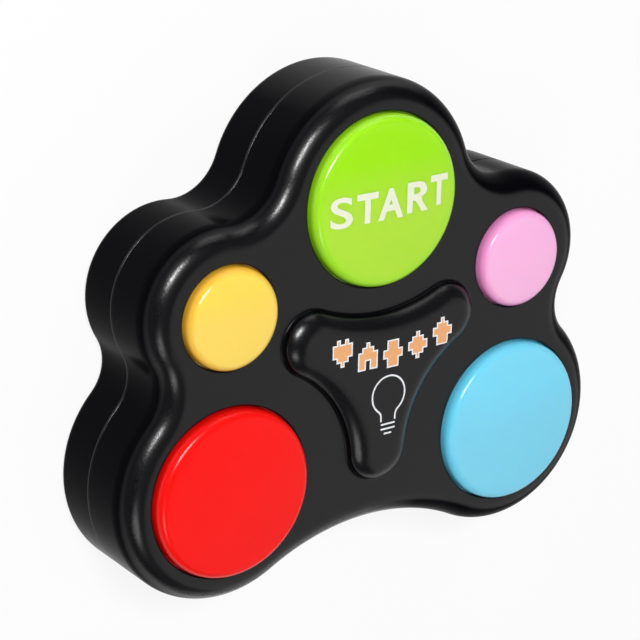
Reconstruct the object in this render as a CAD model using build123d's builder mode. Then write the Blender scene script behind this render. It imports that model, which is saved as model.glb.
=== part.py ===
from build123d import *
from math import atan2, cos, degrees, radians, sin, sqrt, tan
import os

os.makedirs("parts", exist_ok=True)

# A hand-held light and sound game in a five-lobed body with a round key on each lobe. Lengths are in
# millimetres. The body lies on its back: +Z comes out of the keys, +Y points at the top key and +X is
# to the right of someone who reads the face. The origin is under the middle of the outline, on the back.
# A rise is counted along Y from the line through the two foot keys, a reach along X from the middle.

# Keys. Their spacings, with the radii, give the rises of the side keys and of the top key.
top_key_radius = 24.0
side_key_radius = 14.3
foot_key_radius = 24.2
side_key_spacing = 11.1
top_key_lift = 24.5
side_key_reach = 48.8
foot_key_reach = 48.4
key_gap = 0.45
key_rim_rise = 2.9
key_dome_share = 0.05
key_edge_radius = 1.6
key_wall = 1.8
key_travel = 2.0
key_stop_gap = 0.1
flange_width = 1.6
flange_thickness = 1.6
key_post_radius = 3.2
key_post_drop = 7.0
aperture_edge = 0.5

# Lobes of the outline, each as wide as its key, a strip of flat face and the shoulder. Their middles
# sit a little off the middles of the keys. The valleys between them are round too.
shoulder_radius = 6.95
top_lobe_land = 3.05
side_lobe_land = 2.55
foot_lobe_land = 1.95
top_lobe_drop = 1.1
side_lobe_lead = 0.6
side_lobe_spread = 0.9
foot_lobe_lead = 0.4
foot_lobe_tuck = 0.2
top_valley_radius = 15.0
side_valley_radius = 12.8
foot_valley_radius = 70.3

# Depth of the two shells, their walls and edges
rear_depth = 15.75
front_depth = 18.95
shell_wall = 2.4
rear_edge_radius = 2.9
seam_radius = 0.45
tongue_height = 1.5
tongue_gap = 0.1
overrun = 1.0

# Guide collars behind the face
collar_gap = 0.4
collar_wall = 1.6
collar_depth = 4.8

# Raised three-armed pad on the face, set off from the keys round it
pad_height = 4.3
pad_arm_radius = 9.6
pad_top_gap = 12.1
pad_side_gap = 1.6
pad_foot_rise = 2.9
pad_top_margin = 12.5
pad_foot_margin = 9.9
pad_wall_height = 0.9
pad_root_radius = 1.2
pad_hollow_edge = 1.0

# Rubber domes, their contact pills and the board
dome_height = 6.0
dome_flange_radius = 5.5
dome_flange_thickness = 0.6
dome_web = 0.9
pill_radius = 2.4
pill_thickness = 0.7
board_thickness = 1.6
board_margin = 3.0
board_notch_gap = 0.6

# Lamps under the keys and their resistors
lamp_radius = 2.5
lamp_flange_radius = 2.9
lamp_flange_thickness = 1.0
lamp_body_height = 6.1
lamp_gap = 0.1
lamp_leg_radius = 0.25
lamp_leg_spacing = 2.54
lamp_leg_hole_radius = 0.45
lamp_leg_tail = 1.2
resistor_length = 3.2
resistor_width = 1.6
resistor_height = 0.6
resistor_offset = 5.0

# Chip under its drop of resin, and the smoothing capacitor
chip_radius = 6.0
chip_height = 1.6
chip_gap = 7.7
capacitor_radius = 2.5
capacitor_length = 8.0
capacitor_edge = 0.4
capacitor_reach = 36.0
capacitor_drop = 2.0

# Screws that hold the board to the front shell
standoff_radius = 2.4
board_screw_radius = 1.0
board_screw_length = 6.0
board_screw_head_radius = 2.1
board_screw_head = 1.3
board_hole_gap = 0.3
side_standoff_gap = 4.5
foot_standoff_gap = 2.5
foot_standoff_drop_share = 0.28

# Screws that hold the shells together, one beside each valley
case_screw_radius = 1.3
case_screw_length = 16.0
case_screw_head_radius = 2.7
case_screw_head = 1.8
case_screw_sink = 6.0
screw_fit = 0.05
screw_head_gap = 0.35
screw_hole_gap = 0.2
screw_boss_radius = 3.3
screw_tube_wall = 1.35
screw_tube_gap = 0.6
screw_tip_room = 1.6
seat_gap = 0.1
drive_slot_width = 0.7
drive_depth_share = 0.5
drive_length_share = 0.6

# Dry cells of the common slim size, side by side along X
cell_radius = 5.25
cell_length = 43.5
cell_edge = 0.5
cell_nub_radius = 1.9
cell_nub_height = 1.0
cell_gap = 0.8
cell_count = 3

# Battery bay in the rear shell
bay_rise = 18.0
bay_wall = 1.6
bay_side_gap = 0.5
bay_top_gap = 0.4
bay_ledge = 2.4
bay_ledge_width = 2.2
bay_recess_radius = 4.0
leaf_room = 2.6
contact_sheet = 0.4
contact_height = 8.4
contact_width = 8.0
leaf_width = 5.0
leaf_gap = 0.2
lug_width = 3.0
lug_thickness = 0.8
lug_reach = 1.2
lug_slot_gap = 0.1

# Battery door with two captive screws
door_thickness = 1.8
door_gap = 0.35
door_sink = 0.1
door_cell_gap = 0.3
door_end_margin = 1.0
door_boss_radius = 3.9
door_boss_depth = 3.4
door_boss_gap = 0.3
door_screw_radius = 1.25
door_screw_length = 7.6
door_screw_head_radius = 2.5
door_screw_head = 1.4
door_screw_sink = 0.3
door_boss_wall = 1.3
door_tip_room = 1.5

# Loudspeaker behind the grille
speaker_radius = 14.0
speaker_frame_height = 4.4
speaker_magnet_radius = 5.5
speaker_magnet_height = 3.0
speaker_fence_gap = 0.25
speaker_fence_wall = 1.4
speaker_fence_height = 3.0
grille_hole_radius = 0.9
grille_ring_pitch = 3.4
grille_ring_count = 3
grille_first_ring = 6
frame_shares = [
    (0.90, 0), (1, 0), (1, 0.27), (0.857, 0.27), (0.529, 1), (0.257, 1), (0.257, 0.82), (0.50, 0.82),
    (0.814, 0.16), (0.90, 0.16),
]
cone_shares = [
    (0.89, 0.09), (0.89, 0.16), (0.785, 0.16), (0.286, 0.66), (0, 0.66), (0, 0.57), (0.279, 0.57),
    (0.778, 0.09),
]

# Insulated leads
lead_radius = 0.55
lead_arc_share = 0.45
battery_lead_run = 4.0
battery_lead_step = 5.5
speaker_lead_spacing = 5.0
speaker_lead_run = 6.0
speaker_lead_spread = 3.0
speaker_lead_set_back = 9.0
speaker_lead_climb_share = 0.42

# Places and radii that follow from the sizes above
side_key_rise = foot_key_radius + side_key_spacing + side_key_radius
top_key_rise = side_key_rise + top_key_lift
top_lobe_radius = top_key_radius + top_lobe_land + shoulder_radius
side_lobe_radius = side_key_radius + side_lobe_land + shoulder_radius
foot_lobe_radius = foot_key_radius + foot_lobe_land + shoulder_radius
top_lobe_rise = top_key_rise - top_lobe_drop
side_lobe_rise = side_key_rise + side_lobe_lead
foot_lobe_rise = foot_lobe_lead
side_lobe_reach = side_key_reach + side_lobe_spread
foot_lobe_reach = foot_key_reach - foot_lobe_tuck
pad_upper_reach = side_key_reach - side_key_radius - pad_side_gap - pad_arm_radius
pad_upper_rise = top_key_rise - top_key_radius - pad_top_gap
pad_top_valley_radius = top_key_radius + pad_top_margin
pad_side_valley_radius = foot_key_radius + pad_foot_margin
pad_edge_radius = pad_height - pad_wall_height
lamp_offset = dome_flange_radius + lamp_gap + lamp_flange_radius
collar_width = flange_width + collar_gap + collar_wall

# Heights that follow from the sizes above
face_height = rear_depth + front_depth
ceiling_height = face_height - shell_wall
post_foot = face_height - key_post_drop
board_top = post_foot - dome_height
board_bottom = board_top - board_thickness
middle_rise = (top_lobe_rise + top_lobe_radius + foot_lobe_rise - foot_lobe_radius) / 2

keys = [
    ("green", 0, top_key_rise, top_key_radius),
    ("yellow", -side_key_reach, side_key_rise, side_key_radius),
    ("pink", side_key_reach, side_key_rise, side_key_radius),
    ("red", -foot_key_reach, 0, foot_key_radius),
    ("blue", foot_key_reach, 0, foot_key_radius),
]
lobes = [
    (0, top_lobe_rise - middle_rise, top_lobe_radius),
    (side_lobe_reach, side_lobe_rise - middle_rise, side_lobe_radius),
    (foot_lobe_reach, foot_lobe_rise - middle_rise, foot_lobe_radius),
    (-foot_lobe_reach, foot_lobe_rise - middle_rise, foot_lobe_radius),
    (-side_lobe_reach, side_lobe_rise - middle_rise, side_lobe_radius),
]
lobe_valleys = [top_valley_radius, side_valley_radius, foot_valley_radius, side_valley_radius, top_valley_radius]
pad_arms = [
    (-pad_upper_reach, pad_upper_rise - middle_rise, pad_arm_radius),
    (pad_upper_reach, pad_upper_rise - middle_rise, pad_arm_radius),
    (0, pad_foot_rise - middle_rise, pad_arm_radius),
]
pad_valleys = [pad_top_valley_radius, pad_side_valley_radius, pad_side_valley_radius]


def bearing(here, there):
    """Direction from one point to another, in degrees."""
    return degrees(atan2(there[1] - here[1], there[0] - here[0]))


def valley_centre(lobe, following, radius):
    """Centre of the circle that touches two lobes from outside, left of the way from one to the other."""
    across = (following[0] - lobe[0], following[1] - lobe[1])
    distance = sqrt(across[0] ** 2 + across[1] ** 2)
    near = lobe[2] + radius
    far = following[2] + radius
    along = (distance ** 2 + near ** 2 - far ** 2) / (2 * distance)
    off = sqrt(near ** 2 - along ** 2)
    unit = (across[0] / distance, across[1] / distance)
    return (lobe[0] + along * unit[0] - off * unit[1], lobe[1] + along * unit[1] + off * unit[0])


def valley_centres(circles, radii):
    """Centre of each valley of a closed outline, each between a lobe and the next one clockwise."""
    following = circles[1:] + circles[:1]
    return [valley_centre(lobe, after, radius) for lobe, after, radius in zip(circles, following, radii)]


def lobed_outline(circles, radii, inset):
    """Arcs of a closed outline of round lobes and valleys, moved inwards by the inset."""
    centres = valley_centres(circles, radii)
    for index, lobe in enumerate(circles):
        before = centres[index - 1]
        after = centres[index]
        following = circles[(index + 1) % len(circles)]
        start = bearing(lobe, before)
        CenterArc(lobe[:2], lobe[2] - inset, start, -((start - bearing(lobe, after)) % 360))
        start = bearing(after, lobe)
        CenterArc(after, radii[index] + inset, start, (bearing(after, following) - start) % 360)


def upright_plane(x, y, height):
    """Plane that faces -Y through an upright axis, for profiles that are turned about it."""
    return Plane(origin=(x, y, height), x_dir=(1, 0, 0), z_dir=(0, -1, 0))


def upright_axis(x, y):
    """Upright axis through a point of the face."""
    return Axis((x, y, 0), (0, 0, 1))


def export(piece, name):
    """Label a finished piece and write it to its own file."""
    piece.label = name
    export_step(piece, f"parts/{name}.step")


def screw_places():
    """Places of the five case screws, one beside the middle of each valley."""
    inset = shell_wall + screw_tube_gap + case_screw_head_radius + screw_head_gap + screw_tube_wall
    places = []
    centres = valley_centres(lobes, lobe_valleys)
    for index, centre in enumerate(centres):
        start = bearing(centre, lobes[index])
        sweep = (bearing(centre, lobes[(index + 1) % len(lobes)]) - start) % 360
        middle = radians(start + sweep / 2)
        reach = lobe_valleys[index] + inset
        places.append((centre[0] + reach * cos(middle), centre[1] + reach * sin(middle)))
    return places


def key_places():
    """Name, place and radius of each key in the frame of the part."""
    return [(name, reach, rise - middle_rise, radius) for name, reach, rise, radius in keys]


case_screw_places = screw_places()
top_standoff_rise = top_key_rise - top_key_radius - collar_width - standoff_radius
chip_rise = top_standoff_rise - standoff_radius - chip_gap - chip_radius
side_standoff = valley_centre(
    (foot_key_reach, -middle_rise, foot_key_radius + collar_width),
    (side_key_reach, side_key_rise - middle_rise, side_key_radius + collar_width),
    standoff_radius + side_standoff_gap,
)
foot_standoff_distance = foot_key_radius + collar_width + foot_standoff_gap + standoff_radius
foot_standoff_reach = foot_key_reach - foot_standoff_distance * sqrt(1 - foot_standoff_drop_share ** 2)
foot_standoff_drop = foot_standoff_distance * foot_standoff_drop_share
standoff_places = [
    (0, top_standoff_rise - middle_rise),
    (-side_standoff[0], side_standoff[1]),
    side_standoff,
    (-foot_standoff_reach, -foot_standoff_drop - middle_rise),
    (foot_standoff_reach, -foot_standoff_drop - middle_rise),
]

# Front shell

with BuildPart() as front_cavity:
    with BuildSketch(Plane.XY.offset(rear_depth - overrun)):
        with BuildLine():
            lobed_outline(lobes, lobe_valleys, shell_wall)
        make_face()
    extrude(amount=ceiling_height - rear_depth + overrun)
    fillet(front_cavity.edges().group_by(Axis.Z)[-1], shoulder_radius - shell_wall)

with BuildPart() as pad_hollow:
    with BuildSketch(Plane.XY.offset(ceiling_height - overrun)):
        with BuildLine():
            lobed_outline(pad_arms, pad_valleys, shell_wall)
        make_face()
    extrude(amount=pad_height + overrun)
    fillet(pad_hollow.edges().group_by(Axis.Z)[-1], pad_hollow_edge)

with BuildPart() as front_shell:
    with BuildSketch(Plane.XY.offset(rear_depth)):
        with BuildLine():
            lobed_outline(lobes, lobe_valleys, 0)
        make_face()
    extrude(amount=front_depth)
    fillet(front_shell.edges().group_by(Axis.Z)[0], seam_radius)
    fillet(front_shell.edges().group_by(Axis.Z)[-1], shoulder_radius)
    with BuildSketch(Plane.XY.offset(face_height - overrun)):
        with BuildLine():
            lobed_outline(pad_arms, pad_valleys, 0)
        make_face()
    extrude(amount=pad_height + overrun)
    fillet(front_shell.edges().group_by(Axis.Z)[-1], pad_edge_radius)
    pad_root = front_shell.edges().filter_by_position(Axis.Z, face_height, face_height)
    pad_root = pad_root.filter_by_position(
        Axis.Y, pad_arms[2][1] - pad_arm_radius - overrun, pad_arms[0][1] + pad_arm_radius + overrun
    )
    pad_root = pad_root.filter_by_position(
        Axis.X, -pad_upper_reach - pad_arm_radius - overrun, pad_upper_reach + pad_arm_radius + overrun
    )
    fillet(pad_root, pad_root_radius)
    add(front_cavity.part, mode=Mode.SUBTRACT)
    add(pad_hollow.part, mode=Mode.SUBTRACT)
    with BuildSketch(Plane.XY.offset(rear_depth - overrun)):
        with BuildLine():
            lobed_outline(lobes, lobe_valleys, shell_wall / 2)
        make_face()
    extrude(amount=overrun + tongue_height + tongue_gap, mode=Mode.SUBTRACT)
    for name, x, y, radius in key_places():
        guide_radius = radius + flange_width + collar_gap
        with BuildSketch(Plane.XY.offset(ceiling_height - collar_depth)):
            with Locations((x, y)):
                Circle(guide_radius + collar_wall)
                Circle(guide_radius, mode=Mode.SUBTRACT)
        extrude(amount=collar_depth + shell_wall / 2)
        with BuildSketch(Plane.XY.offset(ceiling_height - overrun)):
            with Locations((x, y)):
                Circle(radius + key_gap)
        extrude(amount=shell_wall + 2 * overrun, mode=Mode.SUBTRACT)
        rim = front_shell.edges().filter_by(GeomType.CIRCLE)
        rim = rim.filter_by_position(Axis.Z, face_height, face_height)
        rim = rim.sort_by_distance((x, y, face_height))[0]
        fillet(rim, aperture_edge)
    with BuildSketch(Plane.XY.offset(rear_depth)):
        with Locations(case_screw_places):
            Circle(screw_boss_radius)
    extrude(amount=ceiling_height - rear_depth + shell_wall / 2)
    with BuildSketch(Plane.XY.offset(rear_depth)):
        with Locations(case_screw_places):
            Circle(case_screw_radius + screw_fit)
    extrude(
        amount=case_screw_sink + case_screw_length + screw_tip_room - rear_depth, mode=Mode.SUBTRACT
    )
    with BuildSketch(Plane.XY.offset(board_top)):
        with Locations(standoff_places):
            Circle(standoff_radius)
    extrude(amount=ceiling_height - board_top + shell_wall / 2)
    with BuildSketch(Plane.XY.offset(board_top)):
        with Locations(standoff_places):
            Circle(board_screw_radius + screw_fit)
    extrude(amount=board_screw_length, mode=Mode.SUBTRACT)
export(front_shell.part, "front_shell")

# Rear shell with the battery bay, the screw tubes and the grille

cell_pitch = 2 * cell_radius + cell_gap
bay_length = cell_length + cell_nub_height + leaf_room + 2 * contact_sheet
bay_width = cell_count * 2 * cell_radius + (cell_count - 1) * cell_gap + 2 * bay_side_gap
bay_y = bay_rise - middle_rise
door_inner = door_sink + door_thickness
cell_height = door_inner + door_cell_gap + cell_radius
bay_ceiling = cell_height + cell_radius + bay_top_gap
door_tower_radius = door_boss_radius + door_boss_gap + door_boss_wall
door_screw_reach = bay_length / 2 + bay_wall + door_boss_radius + door_boss_gap
door_length = 2 * (door_screw_reach + door_boss_radius + door_end_margin)
door_width = bay_width + 2 * (bay_ledge_width - door_gap)
door_screw_seat = door_screw_sink + door_screw_head
door_screw_tip = door_screw_seat + door_screw_length
door_screw_places = [(-door_screw_reach, bay_y), (door_screw_reach, bay_y)]
cell_rows = [bay_y + (index - (cell_count - 1) / 2) * cell_pitch for index in range(cell_count)]
speaker_y = top_key_rise - middle_rise
lug_places = [(-1, cell_rows[0]), (1, cell_rows[-1])]
lug_length = bay_wall + lug_reach

with BuildPart() as rear_shell:
    with BuildSketch():
        with BuildLine():
            lobed_outline(lobes, lobe_valleys, 0)
        make_face()
    extrude(amount=rear_depth)
    fillet(rear_shell.edges().group_by(Axis.Z)[-1], seam_radius)
    fillet(rear_shell.edges().group_by(Axis.Z)[0], rear_edge_radius)
    with BuildSketch(Plane.XY.offset(shell_wall)):
        with BuildLine():
            lobed_outline(lobes, lobe_valleys, shell_wall)
        make_face()
    extrude(amount=rear_depth - shell_wall + overrun, mode=Mode.SUBTRACT)
    with BuildSketch(Plane.XY.offset(rear_depth - overrun)):
        with BuildLine():
            lobed_outline(lobes, lobe_valleys, shell_wall / 2 + tongue_gap)
        make_face()
        with BuildLine():
            lobed_outline(lobes, lobe_valleys, shell_wall)
        make_face(mode=Mode.SUBTRACT)
    extrude(amount=overrun + tongue_height)
    with BuildSketch():
        with Locations((0, bay_y)):
            Rectangle(bay_length + 2 * bay_wall, bay_width + 2 * bay_wall)
    extrude(amount=bay_ceiling + bay_wall)
    with BuildSketch():
        with Locations((0, bay_y)):
            RectangleRounded(
                door_length + 2 * door_gap + 2 * bay_wall,
                door_width + 2 * door_gap + 2 * bay_wall,
                bay_recess_radius + bay_wall,
            )
    extrude(amount=door_inner + bay_ledge)
    with BuildSketch():
        with Locations(door_screw_places):
            Circle(door_tower_radius)
    extrude(amount=door_screw_tip + door_tip_room)
    with BuildSketch():
        with Locations(case_screw_places):
            Circle(case_screw_head_radius + screw_head_gap + screw_tube_wall)
    extrude(amount=rear_depth - seat_gap)
    with BuildSketch(Plane.XY.offset(shell_wall / 2)):
        with Locations((0, speaker_y)):
            Circle(speaker_radius + speaker_fence_gap + speaker_fence_wall)
            Circle(speaker_radius + speaker_fence_gap, mode=Mode.SUBTRACT)
    extrude(amount=shell_wall / 2 + speaker_fence_height)
    with BuildSketch(Plane.XY.offset(-overrun)):
        with Locations((0, bay_y)):
            Rectangle(bay_length, bay_width)
    extrude(amount=overrun + bay_ceiling, mode=Mode.SUBTRACT)
    with BuildSketch(Plane.XY.offset(-overrun)):
        with Locations((0, bay_y)):
            RectangleRounded(door_length + 2 * door_gap, door_width + 2 * door_gap, bay_recess_radius)
    extrude(amount=overrun + door_inner + seat_gap, mode=Mode.SUBTRACT)
    with BuildSketch(Plane.XY.offset(-overrun)):
        with Locations(door_screw_places):
            Circle(door_boss_radius + door_boss_gap)
    extrude(amount=overrun + door_boss_depth + seat_gap, mode=Mode.SUBTRACT)
    with BuildSketch():
        with Locations(door_screw_places):
            Circle(door_screw_radius + screw_fit)
    extrude(amount=door_screw_tip + seat_gap, mode=Mode.SUBTRACT)
    with BuildSketch(Plane.XY.offset(-overrun)):
        with Locations(case_screw_places):
            Circle(case_screw_head_radius + screw_head_gap)
    extrude(amount=overrun + case_screw_sink, mode=Mode.SUBTRACT)
    with BuildSketch():
        with Locations(case_screw_places):
            Circle(case_screw_radius + screw_hole_gap)
    extrude(amount=rear_depth + overrun, mode=Mode.SUBTRACT)
    for side, row in lug_places:
        with BuildSketch(Plane.XY.offset(cell_height - lug_thickness / 2 - lug_slot_gap)):
            with Locations((side * (bay_length + bay_wall) / 2, row)):
                Rectangle(bay_wall + overrun, lug_width + 2 * lug_slot_gap)
        extrude(amount=lug_thickness + 2 * lug_slot_gap, mode=Mode.SUBTRACT)
    with BuildSketch(Plane.XY.offset(-overrun)):
        with Locations((0, speaker_y)):
            Circle(grille_hole_radius)
            for ring in range(1, grille_ring_count + 1):
                with PolarLocations(ring * grille_ring_pitch, ring * grille_first_ring):
                    Circle(grille_hole_radius)
    extrude(amount=shell_wall + 2 * overrun, mode=Mode.SUBTRACT)
export(rear_shell.part, "rear_shell")

# Battery door

with BuildPart() as battery_door:
    with BuildSketch(Plane.XY.offset(door_sink)):
        with Locations((0, bay_y)):
            RectangleRounded(door_length, door_width, bay_recess_radius - door_gap)
    extrude(amount=door_thickness)
    with BuildSketch(Plane.XY.offset(door_sink)):
        with Locations(door_screw_places):
            Circle(door_boss_radius)
    extrude(amount=door_boss_depth - door_sink)
    with BuildSketch(Plane.XY.offset(door_sink - overrun)):
        with Locations(door_screw_places):
            Circle(door_screw_head_radius + screw_head_gap)
    extrude(amount=overrun + door_screw_seat - door_sink, mode=Mode.SUBTRACT)
    with BuildSketch(Plane.XY.offset(door_sink)):
        with Locations(door_screw_places):
            Circle(door_screw_radius + screw_hole_gap)
    extrude(amount=door_boss_depth, mode=Mode.SUBTRACT)
export(battery_door.part, "battery_door")

# Screws, heads down


def screws_at(places, seat, radius, length, head_radius, head_height):
    """Cross-slot screws whose heads seat at one height and whose shanks point up."""
    slot_length = 2 * head_radius * drive_length_share
    with BuildPart() as screws:
        with BuildSketch(Plane.XY.offset(seat - head_height)):
            with Locations(places):
                Circle(head_radius)
        extrude(amount=head_height)
        fillet(screws.edges().group_by(Axis.Z)[0], head_height / 3)
        with BuildSketch(Plane.XY.offset(seat)):
            with Locations(places):
                Circle(radius)
        extrude(amount=length)
        chamfer(screws.edges().group_by(Axis.Z)[-1], radius / 2)
        with BuildSketch(Plane.XY.offset(seat - head_height)):
            with Locations(places):
                Rectangle(slot_length, drive_slot_width)
                Rectangle(drive_slot_width, slot_length)
        extrude(amount=head_height * drive_depth_share, mode=Mode.SUBTRACT)
    return screws.part


export(
    screws_at(
        case_screw_places,
        case_screw_sink,
        case_screw_radius,
        case_screw_length,
        case_screw_head_radius,
        case_screw_head,
    ),
    "case_screws",
)
export(
    screws_at(
        standoff_places,
        board_bottom,
        board_screw_radius,
        board_screw_length,
        board_screw_head_radius,
        board_screw_head,
    ),
    "board_screws",
)
for number, place in enumerate(door_screw_places, 1):
    door_screw = screws_at(
        [place],
        door_screw_seat,
        door_screw_radius,
        door_screw_length,
        door_screw_head_radius,
        door_screw_head,
    )
    export(door_screw, f"door_screw_{number}")

# Board, cut round the screw bosses and drilled for its screws and for the legs of the lamps

with BuildPart() as main_board:
    with BuildSketch(Plane.XY.offset(board_bottom)):
        with BuildLine():
            lobed_outline(lobes, lobe_valleys, shell_wall + board_margin)
        make_face()
        with Locations(case_screw_places):
            Circle(screw_boss_radius + board_notch_gap, mode=Mode.SUBTRACT)
        with Locations(standoff_places):
            Circle(board_screw_radius + board_hole_gap, mode=Mode.SUBTRACT)
        for name, x, y, radius in key_places():
            with Locations((x, y - lamp_offset)):
                with GridLocations(lamp_leg_spacing, lamp_leg_spacing, 2, 1):
                    Circle(lamp_leg_hole_radius, mode=Mode.SUBTRACT)
    extrude(amount=board_thickness)
export(main_board.part, "main_board")

# Keys, each with its rubber dome, contact pill, lamp and resistor


def key_cap(x, y, radius):
    """Domed round cap with a flange behind the face and a post that reaches its rubber dome."""
    sagitta = radius * key_dome_share
    sphere = (radius ** 2 + sagitta ** 2) / (2 * sagitta)
    rim = face_height + key_rim_rise
    centre = rim + sagitta - sphere
    inner = radius - key_wall
    under = sphere - key_wall
    flange_top = ceiling_height - key_stop_gap
    flange_radius = radius + flange_width
    half = (inner + key_post_radius) / 2
    with BuildPart() as cap:
        with BuildSketch(upright_plane(x, y, 0)) as profile:
            with BuildLine():
                ThreePointArc(
                    (0, centre + sphere),
                    (radius / 2, centre + sqrt(sphere ** 2 - (radius / 2) ** 2)),
                    (radius, rim),
                )
                Polyline(
                    (radius, rim),
                    (radius, flange_top),
                    (flange_radius, flange_top),
                    (flange_radius, flange_top - flange_thickness),
                    (inner, flange_top - flange_thickness),
                    (inner, centre + sqrt(under ** 2 - inner ** 2)),
                )
                ThreePointArc(
                    (inner, centre + sqrt(under ** 2 - inner ** 2)),
                    (half, centre + sqrt(under ** 2 - half ** 2)),
                    (key_post_radius, centre + sqrt(under ** 2 - key_post_radius ** 2)),
                )
                Polyline(
                    (key_post_radius, centre + sqrt(under ** 2 - key_post_radius ** 2)),
                    (key_post_radius, post_foot),
                    (0, post_foot),
                    (0, centre + sphere),
                )
            make_face()
            fillet(profile.vertices().sort_by_distance((radius, rim, 0))[0], key_edge_radius)
        revolve(axis=upright_axis(x, y))
    return cap.part


def rubber_dome(x, y):
    """Hollow rubber cone with a solid crown, turned about an upright axis."""
    crown_foot = board_top + key_travel + pill_thickness
    with BuildPart() as dome:
        with BuildSketch(upright_plane(x, y, 0)):
            with BuildLine():
                Polyline(
                    (0, crown_foot),
                    (pill_radius, crown_foot),
                    (dome_flange_radius - dome_web, board_top),
                    (dome_flange_radius, board_top),
                    (dome_flange_radius, board_top + dome_flange_thickness),
                    (key_post_radius, crown_foot + dome_flange_thickness),
                    (key_post_radius, post_foot),
                    (0, post_foot),
                    close=True,
                )
            make_face()
        revolve(axis=upright_axis(x, y))
    return dome.part


def contact_pill(x, y):
    """Flat pill under the crown of a dome."""
    with BuildPart() as pill:
        with BuildSketch(Plane.XY.offset(board_top + key_travel)):
            with Locations((x, y)):
                Circle(pill_radius)
        extrude(amount=pill_thickness)
    return pill.part


def key_lamp(x, y):
    """Round-nosed lamp that stands on the board with two legs through it."""
    foot = board_top + lamp_flange_thickness
    top = board_top + lamp_body_height
    with BuildPart() as lamp:
        with BuildSketch(upright_plane(x, y, 0)):
            with BuildLine():
                Polyline(
                    (0, board_top),
                    (lamp_flange_radius, board_top),
                    (lamp_flange_radius, foot),
                    (lamp_radius, foot),
                    (lamp_radius, top),
                )
                ThreePointArc(
                    (lamp_radius, top),
                    (lamp_radius * cos(radians(45)), top + lamp_radius * sin(radians(45))),
                    (0, top + lamp_radius),
                )
                Line((0, top + lamp_radius), (0, board_top))
            make_face()
        revolve(axis=upright_axis(x, y))
        with BuildSketch(Plane.XY.offset(board_bottom - lamp_leg_tail)):
            with Locations((x, y)):
                with GridLocations(lamp_leg_spacing, lamp_leg_spacing, 2, 1):
                    Circle(lamp_leg_radius)
        extrude(amount=board_thickness + lamp_leg_tail + lamp_flange_thickness / 2)
    return lamp.part


def chip_resistor(x, y):
    """Small block under the board."""
    with BuildPart() as resistor:
        with BuildSketch(Plane.XY.offset(board_bottom - resistor_height)):
            with Locations((x, y)):
                Rectangle(resistor_length, resistor_width)
        extrude(amount=resistor_height)
    return resistor.part


for name, x, y, radius in key_places():
    export(key_cap(x, y, radius), f"key_{name}")
    export(rubber_dome(x, y), f"dome_{name}")
    export(contact_pill(x, y), f"pill_{name}")
    export(key_lamp(x, y - lamp_offset), f"lamp_{name}")
    export(chip_resistor(x + resistor_offset, y - lamp_offset), f"resistor_{name}")

# Chip under its drop of resin, and the smoothing capacitor, both under the board

with BuildPart() as chip:
    with BuildSketch(upright_plane(0, chip_rise - middle_rise, board_bottom)):
        with BuildLine():
            chip_sphere = (chip_radius ** 2 + chip_height ** 2) / (2 * chip_height)
            ThreePointArc(
                (0, -chip_height),
                (chip_radius / 2, chip_sphere - chip_height - sqrt(chip_sphere ** 2 - (chip_radius / 2) ** 2)),
                (chip_radius, 0),
            )
            Polyline((chip_radius, 0), (0, 0), (0, -chip_height))
        make_face()
    revolve(axis=upright_axis(0, chip_rise - middle_rise))
export(chip.part, "chip")

with BuildPart() as capacitor:
    with BuildSketch(Plane.XY.offset(board_bottom - capacitor_length)):
        with Locations((-capacitor_reach, -capacitor_drop - middle_rise)):
            Circle(capacitor_radius)
    extrude(amount=capacitor_length)
    fillet(capacitor.edges().group_by(Axis.Z)[0], capacitor_edge)
export(capacitor.part, "capacitor")

# Loudspeaker, face down over the grille


def turned_share_profile(shares, radius, height, x, y, foot):
    """Solid of revolution whose outline is written as shares of a radius and a height."""
    points = [(across * radius, up * height) for across, up in shares]
    with BuildPart() as turned:
        with BuildSketch(upright_plane(x, y, foot)):
            with BuildLine():
                Polyline(*points, close=True)
            make_face()
        revolve(axis=upright_axis(x, y))
    return turned.part


export(
    turned_share_profile(frame_shares, speaker_radius, speaker_frame_height, 0, speaker_y, shell_wall),
    "speaker_frame",
)
export(
    turned_share_profile(cone_shares, speaker_radius, speaker_frame_height, 0, speaker_y, shell_wall),
    "speaker_cone",
)

with BuildPart() as speaker_magnet:
    with BuildSketch(Plane.XY.offset(shell_wall + speaker_frame_height)):
        with Locations((0, speaker_y)):
            Circle(speaker_magnet_radius)
    extrude(amount=speaker_magnet_height)
export(speaker_magnet.part, "speaker_magnet")

# Dry cells, the outer two with their nubs to the right


def dry_cell(row, side):
    """Slim dry cell along X with its nub against the contact at one side."""
    tip = side * (bay_length / 2 - contact_sheet)
    shoulder = tip - side * cell_nub_height
    foot = shoulder - side * cell_length
    with BuildPart() as cell:
        with BuildSketch(upright_plane(0, row, cell_height)):
            with BuildLine():
                Polyline(
                    (foot, 0),
                    (foot, cell_radius),
                    (shoulder, cell_radius),
                    (shoulder, cell_nub_radius),
                    (tip, cell_nub_radius),
                    (tip, 0),
                    close=True,
                )
            make_face()
        revolve(axis=Axis((0, row, cell_height), (1, 0, 0)))
        ends = cell.edges().filter_by(GeomType.CIRCLE).group_by(SortBy.RADIUS)[-1]
        fillet(ends, cell_edge)
    return cell.part


for number, row in enumerate(cell_rows, 1):
    side = 1 if number % 2 else -1
    export(dry_cell(row, side), f"cell_{number}")

# Sheet contacts on the end walls of the bay. A plate meets a nub, a leaf presses on a flat end.


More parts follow.
